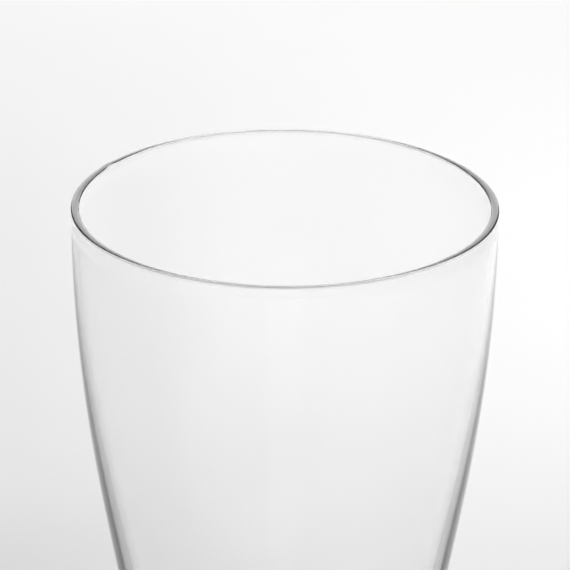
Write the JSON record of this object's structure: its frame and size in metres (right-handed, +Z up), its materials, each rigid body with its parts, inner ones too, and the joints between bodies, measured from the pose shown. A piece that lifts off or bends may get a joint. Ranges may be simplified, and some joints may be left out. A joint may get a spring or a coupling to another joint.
{
  "type": "mixing glass",
  "caption": "Tall open glass that swells in an S-curve from a narrow heavy foot to a wide mouth with a rounded rim; holds, stirs and pours drinks at a bar.",
  "frame": {"origin": "centre of the plane that the foot stands on, on the glass's axis", "axes": "+Z up along the axis, from the foot to the mouth; the glass is round, so X and Y are free"},
  "size_m": [0.09, 0.09, 0.15],
  "materials": {
    "clear_glass": "clear, colourless, fire-polished soda-lime glass"
  },
  "bodies": {
    "root": {"glass_body": "clear_glass"}
  },
  "joints": []
}
